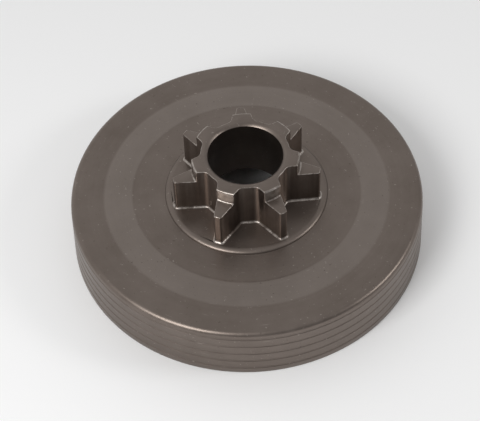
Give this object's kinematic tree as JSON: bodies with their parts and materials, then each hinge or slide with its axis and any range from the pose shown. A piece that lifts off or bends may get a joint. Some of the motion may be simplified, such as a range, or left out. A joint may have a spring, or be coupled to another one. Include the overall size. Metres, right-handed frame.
{
  "type": "chainsaw clutch drum with chain sprocket",
  "caption": "Shallow round steel cup, open below, with a stepped toothed sprocket standing on a low flange at its middle and a bearing bore through both.",
  "frame": {"origin": "middle of the open rim, on the plane that the drum stands on", "axes": "+Z along the bore, from the open rim towards the sprocket; -Y is the side that faces the camera in the picture; +X to the right"},
  "size_m": [0.0768, 0.0768, 0.025],
  "materials": {
    "dark_steel": "satin"
  },
  "bodies": {
    "root": {"drum_sprocket": "dark_steel"}
  },
  "joints": []
}
